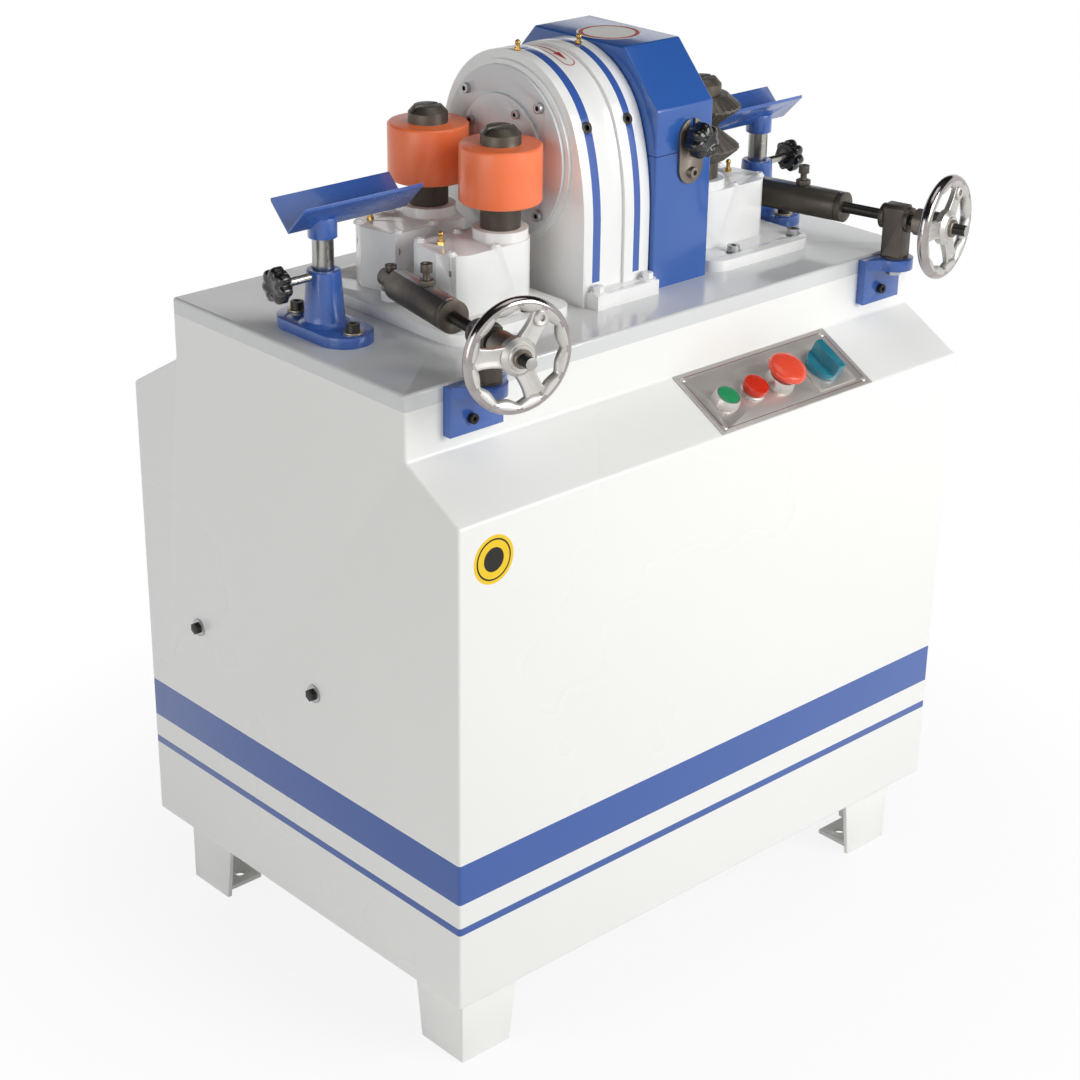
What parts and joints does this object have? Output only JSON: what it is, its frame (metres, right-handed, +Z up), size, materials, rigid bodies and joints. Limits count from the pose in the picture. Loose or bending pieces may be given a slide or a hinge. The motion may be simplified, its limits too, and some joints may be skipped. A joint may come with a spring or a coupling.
{
  "type": "dowel making machine",
  "caption": "Floor-standing dowel making machine: powered rollers feed square stock through a hollow cutter spindle between V troughs, over a white cabinet.",
  "frame": {"origin": "On the floor, below the middle of the machine's own box in X and Y.", "axes": "X runs along the feed from the outfeed side at -X to the infeed side at +X, Y from the operator at the front to the back, Z up."},
  "size_m": [0.8824, 0.6728, 1.1544],
  "materials": {
    "white_paint": "gloss",
    "pale_paint": "gloss",
    "brushed_panel": "brushed",
    "red_lens": "gloss",
    "green_plastic": "gloss",
    "red_plastic": "gloss",
    "teal_plastic": "gloss",
    "black_plastic": "gloss",
    "white_cast": "painted gloss",
    "ground_steel": "ground",
    "dark_steel": "black oxide",
    "cast_grey": "machined",
    "black_rubber": "matte",
    "motor_paint": "painted",
    "blue_paint": "gloss",
    "brass": "polished",
    "pale_cast": "painted gloss",
    "chrome": "polished",
    "orange_polyurethane": "satin",
    "serrated_steel": "milled"
  },
  "bodies": {
    "machine": {"cabinet_body": "white_paint", "deck_plate": "pale_paint", "feet": "white_paint", "control_panel": "brushed_panel", "power_lamp": "red_lens", "head_housing": "white_cast", "head_cover": "pale_paint", "bearing_cap": "ground_steel", "spindle_bearings": "ground_steel", "drive_belts": "black_rubber", "main_motor": "motor_paint", "feed_gearmotor": "motor_paint", "door_hinges": "ground_steel", "cable_gland": "black_plastic", "hood_lower": "blue_paint", "latch_plate": "ground_steel", "fasteners": "dark_steel", "grease_nipples": "brass", "feeder_bases": "pale_cast", "wheel_brackets": "blue_paint", "trough_bases": "blue_paint"},
    "spindle": {"spindle": "dark_steel", "cutter_knives": "ground_steel", "spindle_pulley": "cast_grey"},
    "motor_shaft": {"motor_pulley": "cast_grey"},
    "start_button": {"start_button": "green_plastic"},
    "stop_button": {"stop_button": "red_plastic"},
    "selector": {"selector_knob": "teal_plastic"},
    "rear_door": {"rear_door": "white_paint"},
    "door_handle": {"door_handle": "black_plastic"},
    "hood": {"hood_upper": "blue_paint"},
    "latch_knob": {"latch_knob": "black_plastic"},
    "left_trough": {"left_trough": "blue_paint"},
    "left_clamp_knob": {"left_clamp_knob": "black_plastic"},
    "left_swivel": {"left_swivel_post": "dark_steel"},
    "left_tube": {"left_spring_tube": "dark_steel", "left_spring": "dark_steel"},
    "left_screw": {"left_feed_rod": "dark_steel", "left_handwheel": "chrome"},
    "left_front_arm": {"left_front_case": "white_cast"},
    "left_front_drive": {"left_front_drive": "dark_steel"},
    "left_front_roller": {"left_front_roller": "orange_polyurethane"},
    "left_back_arm": {"left_back_case": "white_cast"},
    "left_back_drive": {"left_back_drive": "dark_steel"},
    "left_back_roller": {"left_back_roller": "orange_polyurethane"},
    "right_trough": {"right_trough": "blue_paint"},
    "right_clamp_knob": {"right_clamp_knob": "black_plastic"},
    "right_swivel": {"right_swivel_post": "dark_steel"},
    "right_tube": {"right_spring_tube": "dark_steel", "right_spring": "dark_steel"},
    "right_screw": {"right_feed_rod": "dark_steel", "right_handwheel": "chrome"},
    "right_front_arm": {"right_front_case": "white_cast"},
    "right_front_drive": {"right_front_drive": "dark_steel"},
    "right_front_roller": {"right_front_roller": "serrated_steel"},
    "right_back_arm": {"right_back_case": "white_cast"},
    "right_back_drive": {"right_back_drive": "dark_steel"},
    "right_back_roller": {"right_back_roller": "serrated_steel"}
  },
  "joints": [
    {"name": "spindle_spin", "type": "hinge", "parent": "machine", "child": "spindle", "pos_m": [-0.00322, -0.00107, 1.022], "axis": [1, 0, 0], "continuous": true},
    {"name": "motor_spin", "type": "hinge", "parent": "machine", "child": "motor_shaft", "pos_m": [-0.00322, -0.00107, 0.222], "axis": [1, 0, 0], "continuous": true},
    {"name": "start_press", "type": "slide", "parent": "machine", "child": "start_button", "axis": [0, 0.4823, -0.876], "range_m": [0, 0.004], "stiffness_N_per_m": 600, "springref_m": -0.002},
    {"name": "stop_press", "type": "slide", "parent": "machine", "child": "stop_button", "axis": [0, 0.4823, -0.876], "range_m": [0, 0.006], "stiffness_N_per_m": 600, "springref_m": -0.003},
    {"name": "selector_turn", "type": "hinge", "parent": "machine", "child": "selector", "pos_m": [0.19878, -0.27194, 0.7546], "axis": [0, -0.4823, 0.876], "range_deg": [-60, 60]},
    {"name": "door_swing", "type": "hinge", "parent": "machine", "child": "rear_door", "pos_m": [-0.26922, 0.31893, 0.397], "axis": [0, 0, 1], "range_deg": [0, 110]},
    {"name": "door_handle_turn", "type": "hinge", "parent": "rear_door", "child": "door_handle", "pos_m": [0.22078, 0.31643, 0.397], "axis": [0, 1, 0], "range_deg": [0, 90]},
    {"name": "hood_lift", "type": "hinge", "parent": "machine", "child": "hood", "pos_m": [0.07428, 0.14193, 1.067], "axis": [-1, 0, 0], "range_deg": [0, 95]},
    {"name": "latch_knob_turn", "type": "hinge", "parent": "hood", "child": "latch_knob", "pos_m": [0.08428, -0.13907, 1.037], "axis": [0, -1, 0], "range_deg": [-90, 270]},
    {"name": "left_trough_height", "type": "slide", "parent": "machine", "child": "left_trough", "axis": [0, 0, 1], "range_m": [-0.016, 0.022]},
    {"name": "left_clamp_turn", "type": "hinge", "parent": "machine", "child": "left_clamp_knob", "pos_m": [-0.40622, -0.00107, 0.927], "axis": [-1, 0, 0], "range_deg": [-180, 90]},
    {"name": "left_wheel_turn", "type": "hinge", "parent": "left_tube", "child": "left_screw", "pos_m": [-0.33022, -0.24107, 0.907], "axis": [0.2079, 0.9781, 0], "range_deg": [-988, 741]},
    {"name": "left_tube_travel", "type": "slide", "parent": "left_swivel", "child": "left_tube", "axis": [0.2079, 0.9781, 0], "range_m": [-0.0055, 0.00413]},
    {"name": "left_post_swivel", "type": "hinge", "parent": "machine", "child": "left_swivel", "pos_m": [-0.33022, -0.24107, 0.877], "axis": [0, 0, 1], "range_deg": [-3.34, 2.5]},
    {"name": "left_front_arm_swing", "type": "hinge", "parent": "machine", "child": "left_front_arm", "pos_m": [-0.22522, -0.06607, 0.907], "axis": [0, 0, 1], "range_deg": [-8.01, 6.01]},
    {"name": "left_front_drive_spin", "type": "hinge", "parent": "left_front_arm", "child": "left_front_drive", "pos_m": [-0.22522, -0.06607, 0.877], "axis": [0, 0, 1], "continuous": true},
    {"name": "left_front_roller_spin", "type": "hinge", "parent": "left_front_arm", "child": "left_front_roller", "pos_m": [-0.15522, -0.06607, 0.957], "axis": [0, 0, 1], "continuous": true},
    {"name": "left_back_arm_swing", "type": "hinge", "parent": "machine", "child": "left_back_arm", "pos_m": [-0.22522, 0.06393, 0.907], "axis": [0, 0, 1], "range_deg": [-6.01, 8.01]},
    {"name": "left_back_drive_spin", "type": "hinge", "parent": "left_back_arm", "child": "left_back_drive", "pos_m": [-0.22522, 0.06393, 0.877], "axis": [0, 0, 1], "continuous": true},
    {"name": "left_back_roller_spin", "type": "hinge", "parent": "left_back_arm", "child": "left_back_roller", "pos_m": [-0.15522, 0.06393, 0.957], "axis": [0, 0, 1], "continuous": true},
    {"name": "right_trough_height", "type": "slide", "parent": "machine", "child": "right_trough", "axis": [0, 0, 1], "range_m": [-0.016, 0.022]},
    {"name": "right_clamp_turn", "type": "hinge", "parent": "machine", "child": "right_clamp_knob", "pos_m": [0.39978, -0.00107, 0.927], "axis": [1, 0, 0], "range_deg": [-180, 90]},
    {"name": "right_wheel_turn", "type": "hinge", "parent": "right_tube", "child": "right_screw", "pos_m": [0.36278, -0.24107, 0.907], "axis": [-0.2079, 0.9781, 0], "range_deg": [-1209, 907]},
    {"name": "right_tube_travel", "type": "slide", "parent": "right_swivel", "child": "right_tube", "axis": [-0.2079, 0.9781, 0], "range_m": [-0.00673, 0.00505]},
    {"name": "right_post_swivel", "type": "hinge", "parent": "machine", "child": "right_swivel", "pos_m": [0.36278, -0.24107, 0.877], "axis": [0, 0, 1], "range_deg": [-2.55, 3.4]},
    {"name": "right_front_arm_swing", "type": "hinge", "parent": "machine", "child": "right_front_arm", "pos_m": [0.24878, -0.06607, 0.907], "axis": [0, 0, 1], "range_deg": [-6.01, 8.01]},
    {"name": "right_front_drive_spin", "type": "hinge", "parent": "right_front_arm", "child": "right_front_drive", "pos_m": [0.24878, -0.06607, 0.877], "axis": [0, 0, 1], "continuous": true},
    {"name": "right_front_roller_spin", "type": "hinge", "parent": "right_front_arm", "child": "right_front_roller", "pos_m": [0.17878, -0.06607, 0.957], "axis": [0, 0, 1], "continuous": true},
    {"name": "right_back_arm_swing", "type": "hinge", "parent": "machine", "child": "right_back_arm", "pos_m": [0.24878, 0.06393, 0.907], "axis": [0, 0, 1], "range_deg": [-8.01, 6.01]},
    {"name": "right_back_drive_spin", "type": "hinge", "parent": "right_back_arm", "child": "right_back_drive", "pos_m": [0.24878, 0.06393, 0.877], "axis": [0, 0, 1], "continuous": true},
    {"name": "right_back_roller_spin", "type": "hinge", "parent": "right_back_arm", "child": "right_back_roller", "pos_m": [0.17878, 0.06393, 0.957], "axis": [0, 0, 1], "continuous": true}
  ],
  "couplings": [
    {"joint": "motor_spin", "follows": "spindle_spin", "ratio": 1.32},
    {"joint": "left_tube_travel", "follows": "left_wheel_turn", "m_per_rad": 0.00031831},
    {"joint": "left_post_swivel", "follows": "left_wheel_turn", "ratio": 0.0033754},
    {"joint": "left_front_arm_swing", "follows": "left_wheel_turn", "ratio": 0.008101},
    {"joint": "left_back_arm_swing", "follows": "left_wheel_turn", "ratio": -0.008101},
    {"joint": "left_back_drive_spin", "follows": "left_front_drive_spin", "ratio": -1},
    {"joint": "left_front_roller_spin", "follows": "left_front_drive_spin", "ratio": 1},
    {"joint": "left_back_roller_spin", "follows": "left_front_drive_spin", "ratio": -1},
    {"joint": "right_tube_travel", "follows": "right_wheel_turn", "m_per_rad": 0.00031831},
    {"joint": "right_post_swivel", "follows": "right_wheel_turn", "ratio": -0.0028124},
    {"joint": "right_front_arm_swing", "follows": "right_wheel_turn", "ratio": -0.0066183},
    {"joint": "right_back_arm_swing", "follows": "right_wheel_turn", "ratio": 0.0066183},
    {"joint": "right_back_drive_spin", "follows": "right_front_drive_spin", "ratio": -1},
    {"joint": "right_front_roller_spin", "follows": "right_front_drive_spin", "ratio": 1},
    {"joint": "right_back_roller_spin", "follows": "right_front_drive_spin", "ratio": -1}
  ]
}
